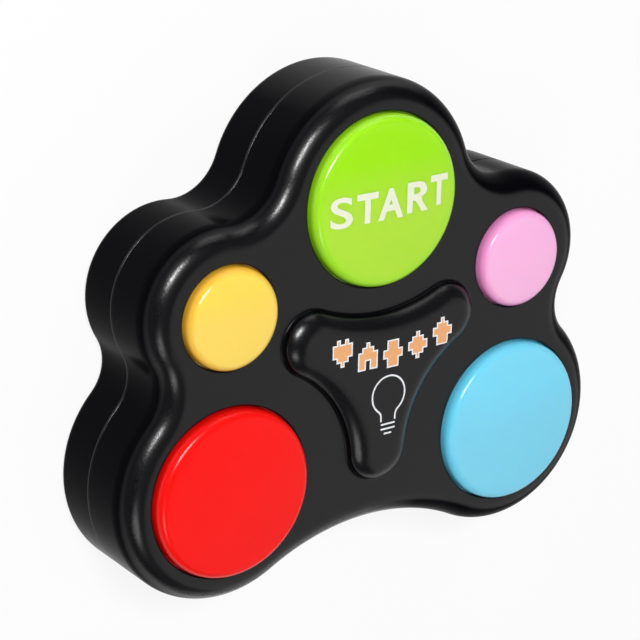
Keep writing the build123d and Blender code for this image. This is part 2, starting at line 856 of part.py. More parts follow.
def contact_strip(side, plate_rows, leaf_row, lug_row):
    """Contact sheet on one end wall, with a bowed leaf and a lug through the wall where they are asked for."""
    outer = side * bay_length / 2
    inner = outer - side * contact_sheet
    bow = leaf_room - leaf_gap
    half = contact_height / 2 - contact_sheet
    low = min(plate_rows) - contact_width / 2
    high = max(plate_rows) + contact_width / 2
    with BuildPart() as strip:
        with BuildSketch(Plane.XY.offset(cell_height - contact_height / 2)):
            with Locations(((outer + inner) / 2, (low + high) / 2)):
                Rectangle(contact_sheet, high - low)
        extrude(amount=contact_height)
        if leaf_row is not None:
            with BuildSketch(upright_plane(inner, leaf_row + leaf_width / 2, cell_height)):
                with BuildLine():
                    ThreePointArc((0, half), (-side * bow, 0), (0, -half))
                    Line((0, -half), (0, -half + 2 * contact_sheet))
                    ThreePointArc(
                        (0, -half + 2 * contact_sheet),
                        (-side * (bow - contact_sheet), 0),
                        (0, half - 2 * contact_sheet),
                    )
                    Line((0, half - 2 * contact_sheet), (0, half))
                make_face()
            extrude(amount=leaf_width)
        if lug_row is not None:
            with BuildSketch(Plane.XY.offset(cell_height - lug_thickness / 2)):
                with Locations((outer + side * (lug_length - contact_sheet) / 2, lug_row)):
                    Rectangle(lug_length + contact_sheet, lug_width)
            extrude(amount=lug_thickness)
    return strip.part


export(contact_strip(-1, cell_rows[:1], cell_rows[0], cell_rows[0]), "contact_negative")
export(contact_strip(1, cell_rows[:2], cell_rows[1], None), "contact_link_right")
export(contact_strip(-1, cell_rows[1:], cell_rows[2], None), "contact_link_left")
export(contact_strip(1, cell_rows[2:], None, cell_rows[2]), "contact_positive")

# Insulated leads from the battery lugs and from the loudspeaker up to the board


def lead_along(points, name):
    """Round lead along straight runs joined by arcs as wide as the runs allow."""
    corners = [Vector(*point) for point in points]
    radii = []
    for before, corner, after in zip(corners, corners[1:], corners[2:]):
        turn = (corner - before).get_angle(after - corner)
        run = min((corner - before).length, (after - corner).length)
        radii.append(lead_arc_share * run / tan(radians(turn) / 2))
    with BuildPart() as lead:
        with BuildLine() as route:
            FilletPolyline(*points, radius=radii)
        with BuildSketch(Plane(origin=points[0], z_dir=corners[1] - corners[0])):
            Circle(lead_radius)
        sweep(path=route.wires()[0])
    section = Face(Wire(Edge.make_circle(lead_radius))).area
    share = lead.part.volume / (section * route.wires()[0].length)
    print(name, "arc radii", [round(radius, 1) for radius in radii], "volume against length", round(share, 4))
    return lead.part


for (side, row), colour in zip(lug_places, ("black", "red")):
    lug_end = side * (bay_length / 2 + lug_length)
    bend = lug_end + side * battery_lead_run
    climb = bend + side * battery_lead_step
    battery_points = [
        (lug_end, row, cell_height),
        (bend, row, cell_height),
        (climb, row, cell_height + battery_lead_step),
        (climb, row, board_bottom),
    ]
    export(lead_along(battery_points, f"battery_lead_{colour}"), f"battery_lead_{colour}")

terminal_share = (frame_shares[1][0] + frame_shares[3][0]) / 2
terminal_height = shell_wall + frame_shares[2][1] * speaker_frame_height
for side, colour in ((-1, "black"), (1, "red")):
    start_x = side * speaker_lead_spacing / 2
    start_y = speaker_y - sqrt((terminal_share * speaker_radius) ** 2 - start_x ** 2)
    end_x = start_x + side * speaker_lead_spread
    end_y = start_y - speaker_lead_set_back
    first = terminal_height + speaker_lead_run
    second = first + speaker_lead_climb_share * (board_bottom - first)
    speaker_points = [
        (start_x, start_y, terminal_height),
        (start_x, start_y, first),
        (end_x, end_y, second),
        (end_x, end_y, board_bottom),
    ]
    export(lead_along(speaker_points, f"speaker_lead_{colour}"), f"speaker_lead_{colour}")
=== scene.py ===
from math import atan2, cos, degrees, pi, radians, sin, sqrt

import bmesh
import bpy
from mathutils import Matrix, Vector
from mathutils.bvhtree import BVHTree


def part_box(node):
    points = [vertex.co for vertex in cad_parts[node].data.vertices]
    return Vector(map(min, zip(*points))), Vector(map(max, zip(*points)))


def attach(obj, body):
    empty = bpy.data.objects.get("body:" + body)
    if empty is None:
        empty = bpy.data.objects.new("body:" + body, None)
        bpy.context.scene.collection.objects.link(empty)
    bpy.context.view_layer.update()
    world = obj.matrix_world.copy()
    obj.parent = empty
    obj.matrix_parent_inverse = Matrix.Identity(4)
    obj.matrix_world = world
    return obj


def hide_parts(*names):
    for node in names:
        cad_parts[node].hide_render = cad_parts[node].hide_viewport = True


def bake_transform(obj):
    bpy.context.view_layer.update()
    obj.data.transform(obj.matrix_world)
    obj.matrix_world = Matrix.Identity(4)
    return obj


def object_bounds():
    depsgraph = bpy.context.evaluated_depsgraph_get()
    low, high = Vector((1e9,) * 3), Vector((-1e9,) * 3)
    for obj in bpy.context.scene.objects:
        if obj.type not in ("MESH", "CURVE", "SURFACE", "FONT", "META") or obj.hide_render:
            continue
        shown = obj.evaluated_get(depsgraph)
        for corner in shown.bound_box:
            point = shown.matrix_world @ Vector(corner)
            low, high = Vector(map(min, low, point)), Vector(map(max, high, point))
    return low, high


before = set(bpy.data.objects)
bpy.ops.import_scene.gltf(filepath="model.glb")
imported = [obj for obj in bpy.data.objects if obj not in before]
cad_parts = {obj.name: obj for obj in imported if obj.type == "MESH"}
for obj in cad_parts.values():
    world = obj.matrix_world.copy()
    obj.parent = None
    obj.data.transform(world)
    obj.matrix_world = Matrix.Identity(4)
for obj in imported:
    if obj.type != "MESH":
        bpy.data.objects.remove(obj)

cad_low, cad_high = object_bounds()

# A hand-held light and sound game in a five-lobed body with a round key on each lobe. It lies on its
# back. Shapes are worked out in millimetres, and each finished piece is scaled to metres.

MM = 0.001
UP = Vector((0, 0, 1))
RIGHT = Vector((1, 0, 0))
AWAY = Vector((0, 1, 0))

# Outline: middle of each lobe, and its radius
top_lobe = (0, 35.85, 34.0)
side_lobe = (49.7, 13.05, 23.8)
foot_lobe = (48.2, -36.75, 33.1)
top_valley_radius = 15.0
side_valley_radius = 12.8
foot_valley_radius = 70.3

# Shells
seam = 15.75
face = 34.7
wall = 2.4
shoulder = 6.95
back_edge = 2.9
seam_edge = 0.45
aperture_edge = 0.5
key_gap = 0.45
back_rounding = 0.25
ceiling = face - wall

# Keys: middle and radius
keys = {
    "green": (0, 36.95, 24.0),
    "yellow": (-48.8, 12.45, 14.15),
    "pink": (48.8, 12.45, 14.15),
    "red": (-48.4, -37.15, 24.05),
    "blue": (48.4, -37.15, 24.05),
}
key_rise = 2.9
dome_share = 0.05
key_edge = 2.6
key_wall = 1.8
flange_width = 1.6
flange_gap = 0.1
flange_top = ceiling - flange_gap
post_radius = 3.2
post_drop = 7.0
post_foot = face - post_drop

# Rubber domes under the keys
dome_height = 6.0
dome_radius = 5.5
dome_flange = 0.6
dome_web = 0.9
crown_foot_height = 2.71
crown_round = 0.5
pill_radius = 2.4
board_top = post_foot - dome_height

# Raised pad
pad_arm = (22.8, 0.45, 9.1)
pad_foot = (0, -34.25, 9.6)
pad_top_valley_radius = 48.0
pad_side_valley_radius = 34.1
pad_height = 4.3
pad_edge = 3.4
pad_root = 1.2
pad_brow = 1.8
brow_turn = 45

# Battery bay, its door and the screws
bay = (0, -19.15)
bay_half = (23.95, 17.05)
bay_ceiling = 13.1
bay_wall = 1.6
recess_half = (35.0, 19.25)
recess_corner = 4.0
recess_floor = 2.0
door_gap = 0.35
door_low = 0.1
door_high = 1.9
door_screw_reach = 29.75
door_screw_seat = 1.7
door_head_hole = 2.85
door_shank_hole = 1.45
door_hole_rounding = 0.15
door_boss_radius = 3.9
door_boss_top = 3.4
boss_pocket = 4.2
boss_pocket_top = 3.5
door_screw_hole = 1.3
door_hole_top = 9.4
bay_roof = 14.7
block_top = 4.3
tower_radius = 5.5
head_hole = 3.05
head_hole_depth = 6.0
shank_hole = 1.5
tube_radius = 4.4
tube_gap = 0.1
tube_top = seam - tube_gap
screw_inset = 7.4

# Grille, with the number of each ring and how many holes it has
grille_hole = 0.9
grille_pitch = 3.4
grille_rings = ((0, 1), (1, 6), (2, 12), (3, 18))
grille_rounding = 0.15

# Prints: how thick they are, how deep they sit, and the height of the pad's top under them
ink_thickness = 0.05
ink_sunk = 0.01
pad_top = face + pad_height - ink_thickness

# Fineness of the meshes: step along an outline, narrow band beside a rounded edge, points that are one
arc_step = 1.5
ease = 0.3
join = 0.001

# How far the drawn surfaces stay inside the solids' box, and a key's post from its rubber dome
inset = 0.03
dome_play = 0.02


def bearing(here, there):
    """Direction from one point to another, in degrees."""
    return degrees(atan2(there[1] - here[1], there[0] - here[0]))


def valley_centre(lobe, following, radius):
    """Centre of the circle that touches two lobes from outside, left of the way from one to the other."""
    across = Vector(following[:2]) - Vector(lobe[:2])
    near, far = lobe[2] + radius, following[2] + radius
    along = (across.length_squared + near ** 2 - far ** 2) / (2 * across.length)
    off = sqrt(near ** 2 - along ** 2)
    unit = across.normalized()
    return Vector(lobe[:2]) + along * unit + off * Vector((-unit.y, unit.x))


def mirrored(lobe):
    """The same lobe on the other side."""
    return (-lobe[0], *lobe[1:])


def turn(centre, angle, steps, axis=UP):
    """A turn about an axis through a point, in degrees."""
    return {"cent": Vector((*centre, 0)[:3]), "axis": axis, "angle": radians(angle), "steps": steps}


def run(shift, steps=1):
    """A straight run."""
    shift = Vector((*shift, 0)[:3])
    return {"cent": Vector(), "axis": UP, "angle": 0.0, "steps": steps, "dvec": shift / steps}


def carry(bm, geometry, moves):
    """Draws points and edges out through turns and straight runs, and gives them back where they end."""
    last = list(geometry)
    for move in moves:
        last = bmesh.ops.spin(bm, geom=last, use_merge=False, use_duplicate=False, **move)["geom_last"]
    return last


def half_outline(rounds):
    """Turns along half a lobed outline, clockwise from its top to its foot. Each round is a centre, a
    radius and whether it is a lobe."""
    moves = []
    for index, (centre, radius, lobe) in enumerate(rounds):
        first = bearing(centre, rounds[index - 1][0]) if index else (90 if lobe else -90)
        last = bearing(centre, rounds[index + 1][0]) if index + 1 < len(rounds) else (-90 if lobe else 90)
        sweep = (first - last) % 360 if lobe else (last - first) % 360
        steps = max(6, round(radians(sweep) * radius / arc_step))
        moves.append(turn(centre, -sweep if lobe else sweep, steps))
    return moves


def draw_profile(bm, origin, across, start, moves):
    """Draws a row of edges in an upright plane. A move is (out, up) for a run, or (centre out, centre up,
    degrees, steps) for a turn, counted from out towards up."""
    known = {*bm.verts, *bm.edges}
    origin = Vector((*origin, 0)[:3])
    axis = across.cross(UP)
    last = [bm.verts.new(origin + start[0] * across + start[1] * UP)]
    for move in moves:
        if len(move) == 2:
            step = run(move[0] * across + move[1] * UP)
        else:
            step = turn(origin + move[0] * across + move[1] * UP, move[2], move[3], axis)
        last = carry(bm, last, [step])
    return [part for part in (*bm.verts, *bm.edges) if part not in known]


def straight(height):
    """Upright run with a narrow band at each end, so that it keeps its shading next to a rounded edge."""
    band = ease if height > 0 else -ease
    return [(0, band), (0, height - 2 * band), (0, band)]


def sloped(out, up, steps=6):
    """Slanting run in short steps, for a wall that bends."""
    return [(out / steps, up / steps)] * steps


def turned(bm, place, start, moves, steps):
    """Draws a profile and turns it round an upright axis."""
    profile = draw_profile(bm, place, RIGHT, start, moves)
    centre = Vector((*place[:2], 0))
    bmesh.ops.spin(bm, geom=profile, cent=centre, axis=UP, angle=2 * pi, steps=steps, use_merge=True)


def mirror_half(bm):
    """Adds the left half and joins it to the right one."""
    bmesh.ops.mirror(bm, geom=[*bm.verts, *bm.edges, *bm.faces], axis="X", merge_dist=join)
    bmesh.ops.remove_doubles(bm, verts=bm.verts, dist=join)


def fill_level(bm, height):
    """Fills the flat between all the open edges at one height."""
    rim = [e for e in bm.edges if e.is_boundary and all(abs(v.co.z - height) < join for v in e.verts)]
    bmesh.ops.triangle_fill(bm, edges=rim, use_beauty=True)


def make_piece(name, bm, body, finishes, replaces=(), sharp=30):
    """Turns a finished mesh into a piece that rides on a body, or on none."""
    bmesh.ops.remove_doubles(bm, verts=bm.verts, dist=join)
    bmesh.ops.recalc_face_normals(bm, faces=bm.faces)
    bmesh.ops.scale(bm, vec=(MM, MM, MM), verts=bm.verts)
    mesh = bpy.data.meshes.new(name)
    bm.to_mesh(mesh)
    bm.free()
    mesh.polygons.foreach_set("use_smooth", [True] * len(mesh.polygons))
    mesh.set_sharp_from_angle(angle=radians(sharp))
    for finish in finishes:
        mesh.materials.append(finish)
    piece = bpy.data.objects.new(name, mesh)
    bpy.context.scene.collection.objects.link(piece)
    if body:
        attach(piece, body)
    if replaces:
        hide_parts(*replaces)
    return piece


# Finishes


class Wire:
    """A shader socket whose sums and products add the nodes that they need."""

    def __init__(self, finish, socket):
        self.finish = finish
        self.socket = socket

    def maths(self, operation, first, second):
        return self.finish.node("ShaderNodeMath", {"operation": operation}, {0: first, 1: second})

    def __add__(self, other):
        return self.maths("ADD", self, other)

    def __radd__(self, other):
        return self.maths("ADD", other, self)

    def __sub__(self, other):
        return self.maths("SUBTRACT", self, other)

    def __rsub__(self, other):
        return self.maths("SUBTRACT", other, self)

    def __mul__(self, other):
        return self.maths("MULTIPLY", self, other)


class Finish:
    """A material and the nodes that make its surface."""

    def __init__(self, name):
        self.material = bpy.data.materials.new(name)
        self.material.use_nodes = True
        self.tree = self.material.node_tree
        self.tree.nodes.clear()

    def node(self, kind, settings=None, inputs=None, output=0):
        """Adds a node, sets it up, and gives back one of its outputs."""
        made = self.tree.nodes.new(kind)
        for name, value in (settings or {}).items():
            if name == "stops":
                ramp = made.color_ramp.elements
                while len(ramp) < len(value):
                    ramp.new(0.5)
                for stop, (position, colour) in zip(ramp, value):
                    stop.position = position
                    stop.color = colour
            else:
                setattr(made, name, value)
        for name, value in (inputs or {}).items():
            if isinstance(value, Wire):
                self.tree.links.new(value.socket, made.inputs[name])
            else:
                made.inputs[name].default_value = value
        return Wire(self, made.outputs[output]) if made.outputs else None

    def coordinates(self):
        return self.node("ShaderNodeTexCoord", output="Object")

    def noise(self, size, detail, stretch=None):
        """Soft random pattern whose features are about so many millimetres wide."""
        vector = self.coordinates()
        if stretch:
            vector = self.node("ShaderNodeMapping", inputs={"Vector": vector, "Scale": stretch})
        inputs = {"Vector": vector, "Scale": 1 / (size * MM), "Detail": detail}
        return self.node("ShaderNodeTexNoise", inputs=inputs)

    def ramp(self, factor, *stops):
        """Value that follows a factor through stops of (position, value)."""
        stops = [(position, (value, value, value, 1)) for position, value in stops]
        return self.node("ShaderNodeValToRGB", {"stops": stops}, {"Fac": factor})

    def blend(self, factor, first, second):
        """Colour between two others."""
        inputs = {"Factor": factor, 6: first, 7: second}
        return self.node("ShaderNodeMix", {"data_type": "RGBA"}, inputs, output=2)

    def bump(self, height, strength, depth):
        """Surface relief, its depth in millimetres."""
        inputs = {"Strength": strength, "Distance": depth * MM, "Height": height}
        return self.node("ShaderNodeBump", inputs=inputs)

    def split(self, vector, part):
        """One of the three numbers of a vector."""
        return self.node("ShaderNodeSeparateXYZ", inputs={"Vector": vector}, output=part)

    def surface(self, **inputs):
        """Joins the finish's shader to its output."""
        inputs = {name.replace("_", " "): value for name, value in inputs.items()}
        shader = self.node("ShaderNodeBsdfPrincipled", inputs=inputs)
        self.node("ShaderNodeOutputMaterial", inputs={"Surface": shader})
        return self.material


def colour(red, green, blue):
    """Colour written as screen values from 0 to 255."""
    def light(value):
        share = value / 255
        return share / 12.92 if share <= 0.04045 else ((share + 0.055) / 1.055) ** 2.4
    return (light(red), light(green), light(blue), 1.0)


def black_gloss(name):
    """Black plastic with the fine grain of its mould, coated on its face and back, with painted
    highlights and sheen from more coat on its left shoulder, along the seam and at the far end."""
    finish = Finish(name)
    grain = 0.42
    place = finish.coordinates()
    # From 0 to 1: over the object's height, up to its far end, and from 100 mm left to 100 mm right
    height = finish.split(place, 2) * (1 / cad_high[2])
    away = finish.split(place, 1) * (1 / cad_high[1])
    across = finish.split(place, 0) * 5 + 0.5

    def by_height(*bands):
        """Value that changes with the height over the floor, through bands of (height, value)."""
        return finish.ramp(height, *[(z * MM / cad_high[2], value) for z, value in bands])

    # Coat on the back, the flat face and the pad, but little at the pad's root, a painted shade that keeps
    # highlights out of that crease
    level = by_height(
        (0.6, 0.7), (1.2, 0),
        (face - 0.5, 0), (face - 0.2, 1), (face + 0.04, 1),
        (face + 0.15, 0.12), (face + 1, 0.12), (face + 1.5, 1))
    # Painted highlights: the edge at the seam and the shoulder carry coat on the left half alone
    rounded = by_height(
        (seam - 0.55, 0), (seam - 0.45, 1), (seam - 0.08, 1), (seam - 0.02, 0),
        (face - 4.2, 0), (face - 2.2, 1), (face - 0.5, 1), (face - 0.2, 0))
    painted_highlight_side = finish.ramp(across, (0.49, 1), (0.58, 0))
    # Painted sheen: a little coat on the upper wall near the far end, so that it reflects the floor more
    # brightly there
    painted_far_sheen = finish.ramp(away, (0.89, 0), (0.98, 0.2)) * by_height((face - 3, 1), (face - 1, 0))
    coat_and_painted_sheen = level + painted_far_sheen + painted_highlight_side * rounded
    # The grain breaks up the coat and painted sheen most on the shoulder, less on the pad's sides, hardly on
    # the flats
    grain_share = by_height(
        (face - 2.1, 0), (face - 1.6, 1), (face - 1, 1),
        (face - 0.5, 0.06), (face + 1, 0.06),
        (face + 2, 0.65), (pad_top - 0.5, 0.65), (pad_top, 0.06))
    speckle = 1 - grain_share * finish.ramp(finish.noise(grain, 2), (0.42, 0.62), (0.58, 0))
    clouds = finish.noise(14, 3)
    base = finish.blend(clouds, (0.0014, 0.0013, 0.0022, 1), (0.0022, 0.0021, 0.0032, 1))
    relief = finish.bump(finish.noise(grain, 3), 0.3, 0.04)
    return finish.surface(
        Base_Color=base, Roughness=0.2 + clouds * 0.08, Normal=relief, IOR=1.07,
        Coat_Weight=coat_and_painted_sheen * speckle * 0.9, Coat_Roughness=0.25,
    )


def key_plastic(name, shade, unsheened_far_shade, rim_shade, rim_width, gloss, place):
    """Smooth coloured plastic that lets some light in, with a painted sheen that lightens its near half, a
    deeper shade at its far side and another shade at its rim.
    """
    finish = Finish(name)
    x, y, radius = place
    share = 1 / (radius * MM)
    moved = finish.node("ShaderNodeMapping", inputs={
        "Vector": finish.coordinates(), "Location": (-x * MM, -y * MM, 0), "Scale": (1, 1, 0)})
    reach = finish.node("ShaderNodeVectorMath", {"operation": "LENGTH"}, {0: moved}, "Value") * share

    def near_rim(start, middle, end=0.2):
        """Grows from 0 to 1 towards the rim, over distances from it in millimetres."""
        stops = ((start, 0), (middle, 0.5), (end, 1))
        return finish.ramp(reach, *[(1 - inside / radius, value) for inside, value in stops])

    clouds = finish.noise(12, 2)
    # Painted sheen: the near side of the key's face is lighter, and the far side keeps a deeper shade
    painted_sheen_fade = finish.ramp(finish.split(moved, 1) * share, (0, 0), (0.5, 1))
    deep = tuple(value * 0.98 for value in shade[:3]) + (1,)
    face_with_painted_sheen = finish.blend(painted_sheen_fade, finish.blend(clouds, deep, shade), unsheened_far_shade)
    base = finish.blend(near_rim(rim_width, 0.48 * rim_width), face_with_painted_sheen, rim_shade)
    relief = finish.bump(finish.noise(0.5, 2), 0.08, 0.02)
    return finish.surface(
        Base_Color=base, Roughness=0.22 + clouds * 0.06, Normal=relief, IOR=1.3,
        Coat_Weight=near_rim(4.2, 2) * gloss, Coat_Roughness=0.12,
        Subsurface_Weight=0.5, Subsurface_Scale=0.004, Subsurface_Radius=(1.0, 0.8, 0.6),
    )


def plain_plastic(name, dark, pale, size, roughness, relief=0.02):
    """Matt or silky plastic, rubber, card or resin, with a pattern of a given size."""
    finish = Finish(name)
    pattern = finish.noise(size, 3)
    base = finish.blend(pattern, dark, pale)
    bump = finish.bump(finish.noise(size / 6, 2), 0.3, relief)
    return finish.surface(Base_Color=base, Roughness=roughness - 0.06 + pattern * 0.12, Normal=bump)


def bright_metal(name, dark, pale, roughness):
    """Plated or rolled metal with fine marks."""
    finish = Finish(name)
    marks = finish.noise(0.35, 3)
    stains = finish.noise(4, 2)
    base = finish.blend(stains, dark, pale)
    bump = finish.bump(marks, 0.2, 0.01)
    return finish.surface(
        Base_Color=base, Metallic=1.0, Roughness=roughness - 0.05 + marks * 0.1, Normal=bump
    )


def cell_sleeve(cell, plus_side):
    """Printed sleeve of a dry cell, copper towards its plus end, with bare plated ends."""
    low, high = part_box(cell)
    finish = Finish(f"{cell}_sleeve")
    start = low[0] if plus_side > 0 else high[0]
    along = (finish.split(finish.coordinates(), 0) - start) * (plus_side / (high[0] - low[0]))
    copper = finish.ramp(along, (0.7, 0), (0.704, 1))
    bare = finish.ramp(along, (0.018, 1), (0.022, 0), (0.962, 0), (0.966, 1))
    marks = finish.noise(0.35, 3, stretch=(0.1, 1, 1))
    printed = finish.blend(copper, (0.03, 0.06, 0.17, 1), (0.6, 0.27, 0.1, 1))
    base = finish.blend(bare, printed, (0.68, 0.68, 0.7, 1))
    bump = finish.bump(marks, 0.2, 0.01)
    return finish.surface(Base_Color=base, Metallic=1.0, Roughness=0.3 + marks * 0.1, Normal=bump)


shell_finish = black_gloss("black_gloss_plastic")

# Shades of each key on its face, lightened by painted sheen, at its far side beyond the sheen and round its
# rim, the rim's width and its gloss
key_shades = {
    "green": (colour(174, 222, 60), colour(156, 226, 15), colour(157, 226, 32), 4.2, 0.5),
    "yellow": (colour(255, 211, 98), colour(255, 212, 87), colour(255, 186, 58), 2.0, 0.45),
    "pink": (colour(255, 183, 222), colour(255, 180, 223), colour(255, 152, 208), 2.0, 0.3),
    "red": (colour(252, 17, 13), colour(251, 15, 10), colour(247, 14, 10), 4.2, 0.1),
    "blue": (colour(127, 210, 236), colour(124, 214, 242), colour(106, 210, 243), 2.4, 0.35),
}
key_finishes = {
    name: key_plastic(f"{name}_key_plastic", *shades, keys[name]) for name, shades in key_shades.items()
}
white_ink = plain_plastic("white_ink", colour(222, 224, 226), colour(236, 239, 243), 3, 0.45, 0.005)
key_ink = plain_plastic("key_ink", colour(222, 226, 200), colour(232, 236, 212), 3, 0.45, 0.005)
peach_ink = plain_plastic("peach_ink", colour(222, 156, 100), colour(236, 174, 120), 1.5, 0.45, 0.005)

node_finishes = {
    "main_board": plain_plastic("board_lacquer", (0.008, 0.09, 0.03, 1), (0.012, 0.13, 0.045, 1), 2.0, 0.35),
    "chip": plain_plastic("black_resin", (0.006, 0.006, 0.006, 1), (0.012, 0.012, 0.012, 1), 3, 0.3),
    "capacitor": bright_metal("capacitor_can", (0.5, 0.5, 0.52, 1), (0.68, 0.68, 0.7, 1), 0.35),
    "speaker_frame": bright_metal("speaker_steel", (0.42, 0.42, 0.44, 1), (0.6, 0.6, 0.62, 1), 0.38),
    "speaker_cone": plain_plastic("cone_paper", (0.012, 0.012, 0.013, 1), (0.03, 0.03, 0.032, 1), 0.8, 0.8),
    "speaker_magnet": plain_plastic("ferrite", (0.03, 0.03, 0.032, 1), (0.06, 0.06, 0.062, 1), 0.7, 0.6),
    "battery_lead_red": plain_plastic("red_lead", (0.5, 0.01, 0.01, 1), (0.62, 0.03, 0.02, 1), 3, 0.4),
    "battery_lead_black": plain_plastic("black_lead", (0.01, 0.01, 0.01, 1), (0.02, 0.02, 0.02, 1), 3, 0.45),
}
node_finishes["speaker_lead_red"] = node_finishes["battery_lead_red"]
node_finishes["speaker_lead_black"] = node_finishes["battery_lead_black"]
contact_finish = bright_metal("plated_contact", (0.62, 0.6, 0.55, 1), (0.78, 0.76, 0.72, 1), 0.28)
screw_finish = bright_metal("zinc_screw", (0.45, 0.46, 0.48, 1), (0.66, 0.67, 0.7, 1), 0.3)
dome_finish = plain_plastic("silicone_rubber", (0.55, 0.55, 0.52, 1), (0.68, 0.68, 0.65, 1), 2, 0.5)
pill_finish = plain_plastic("carbon_rubber", (0.01, 0.01, 0.01, 1), (0.02, 0.02, 0.02, 1), 0.6, 0.7)
lamp_finish = plain_plastic("lamp_resin", (0.75, 0.74, 0.66, 1), (0.85, 0.84, 0.78, 1), 2, 0.2, 0.005)
resistor_finish = plain_plastic("resistor_glaze", (0.015, 0.015, 0.02, 1), (0.03, 0.03, 0.035, 1), 0.6, 0.4)
for start, finish in (
    ("contact_", contact_finish),
    ("case_screws", screw_finish),
    ("board_screws", screw_finish),
    ("door_screw_", screw_finish),
    ("pill_", pill_finish),
    ("lamp_", lamp_finish),
    ("resistor_", resistor_finish),
):
    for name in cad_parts:
        if name.startswith(start):
            node_finishes[name] = finish
for cell, plus_side in (("cell_1", 1), ("cell_2", -1), ("cell_3", 1)):
    node_finishes[cell] = cell_sleeve(cell, plus_side)
for name, finish in node_finishes.items():
    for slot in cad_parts[name].material_slots:
        slot.material = finish


# Outlines of the body and of the pad

body_rounds = [
    (Vector(top_lobe[:2]), top_lobe[2], True),
    (valley_centre(top_lobe, side_lobe, top_valley_radius), top_valley_radius, False),
    (Vector(side_lobe[:2]), side_lobe[2], True),
    (valley_centre(side_lobe, foot_lobe, side_valley_radius), side_valley_radius, False),
    (Vector(foot_lobe[:2]), foot_lobe[2], True),
    (valley_centre(foot_lobe, mirrored(foot_lobe), foot_valley_radius), foot_valley_radius, False),
]
body_path = half_outline(body_rounds)
body_top = (0, top_lobe[1] + top_lobe[2] - inset)
pad_rounds = [
    (valley_centre(mirrored(pad_arm), pad_arm, pad_top_valley_radius), pad_top_valley_radius, False),
    (Vector(pad_arm[:2]), pad_arm[2], True),
    (valley_centre(pad_arm, pad_foot, pad_side_valley_radius), pad_side_valley_radius, False),
    (Vector(pad_foot[:2]), pad_foot[2], True),
]
pad_path = half_outline(pad_rounds)
pad_start = (0, pad_rounds[0][0].y - pad_top_valley_radius)

# Front shell: from the ceiling down its inner wall, round the seam, up and over the shoulder

front = bmesh.new()
profile = draw_profile(front, body_top, AWAY, (-shoulder, ceiling), [
    (-shoulder, face - shoulder, -90, 8),
    (0, seam - face + shoulder),
    (wall - seam_edge, 0),
    (-seam_edge, seam + seam_edge, 90, 5),
    *straight(face - shoulder - seam - seam_edge),
    (-shoulder, face - shoulder, 90, 20),
    (-ease, 0),
])
carry(front, profile, body_path)
brow_level = pad_top - pad_edge
root_centre = sqrt((pad_brow + pad_root) ** 2 - (brow_level - face - pad_root) ** 2) - pad_brow
root_angle = 90 - degrees(atan2(face + pad_root - brow_level, root_centre + pad_brow))
brow_sine = sin(radians(brow_turn))
crown = (pad_edge - pad_brow * brow_sine) / (1 - brow_sine)
crown_centre = -pad_brow - (crown - pad_brow) * cos(radians(brow_turn))
profile = draw_profile(front, pad_start, AWAY, (root_centre + ease, face), [
    (-ease, 0),
    (root_centre, face + pad_root, -root_angle, 7),
    (-pad_brow, brow_level, root_angle + brow_turn - 90, 10),
    (crown_centre, pad_top - crown, 90 - brow_turn, 12),
    (-ease, 0),
])
carry(front, profile, pad_path)
profile = draw_profile(front, pad_start, AWAY, (-wall, ceiling), [(0, pad_height)])
carry(front, profile, pad_path)
mirror_half(front)
for x, y, radius in keys.values():
    opening = radius + key_gap
    turned(front, (x, y), (opening + aperture_edge + ease, face), [
        (-ease, 0),
        (opening + aperture_edge, face - aperture_edge, 90, 5),
        *straight(ceiling - face + aperture_edge),
    ], 120)
bmesh.ops.remove_doubles(front, verts=front.verts, dist=join)
for height in (face, ceiling, pad_top, ceiling + pad_height):
    fill_level(front, height)
front_surface = BVHTree.FromBMesh(front)
make_piece("front_shell_gloss", front, "housing", [shell_finish], ["front_shell"])

# Rear shell: inner floor, up the wall to the seam, and down round the back edge

rear = bmesh.new()
profile = draw_profile(rear, body_top, AWAY, (-wall, wall), [
    (0, seam - wall),
    (wall - seam_edge, 0),
    (-seam_edge, seam - seam_edge, -90, 5),
    *straight(back_edge - seam + seam_edge),
    (-back_edge, back_edge, -90, 10),
    (-ease, 0),
])
carry(rear, profile, body_path)


def half_rounded_box(half, corner, steps=6):
    """Runs and turns along half a rounded rectangle round the bay, clockwise from the middle of its top."""
    across, up = half
    moves = [run((across - corner, 0))] if across > corner else []
    moves.append(turn((across - corner, bay[1] + up - corner), -90, steps))
    moves.append(run((0, 2 * corner - 2 * up)))
    moves.append(turn((across - corner, bay[1] - up + corner), -90, steps))
    moves.append(run((corner - across, 0)))
    return moves


profile = draw_profile(rear, (0, bay[1] + recess_half[1]), AWAY, (back_rounding + ease, 0), [
    (-ease, 0),
    (back_rounding, back_rounding, -90, 4),
    (0, recess_floor - back_rounding),
])
carry(rear, profile, half_rounded_box(recess_half, recess_corner))
profile = draw_profile(rear, (0, bay[1] + bay_half[1]), AWAY, (0, recess_floor), [
    (0, bay_ceiling - recess_floor),
])
carry(rear, profile, [
    run((bay_half[0], 0)),
    run((0, -2 * bay_half[1])),
    run((-bay_half[0], 0)),
])
block_half = (recess_half[0] + bay_wall, recess_half[1] + bay_wall)
profile = draw_profile(rear, (0, bay[1] + block_half[1]), AWAY, (0, wall), [(0, block_top - wall)])
carry(rear, profile, half_rounded_box(block_half, recess_corner + bay_wall))
box_half = (bay_half[0] + bay_wall, bay_half[1] + bay_wall)
tower_off = door_screw_reach - box_half[0]
tower_half = sqrt(tower_radius ** 2 - tower_off ** 2)
profile = draw_profile(rear, (0, bay[1] + box_half[1]), AWAY, (0, block_top), [(0, bay_roof - block_top)])
carry(rear, profile, [
    run((box_half[0], 0)),
    run((0, tower_half - box_half[1])),
    turn((door_screw_reach, bay[1]), -2 * degrees(atan2(tower_half, -tower_off)), 18),
    run((0, tower_half - box_half[1])),
    run((-box_half[0], 0)),
])
mirror_half(rear)
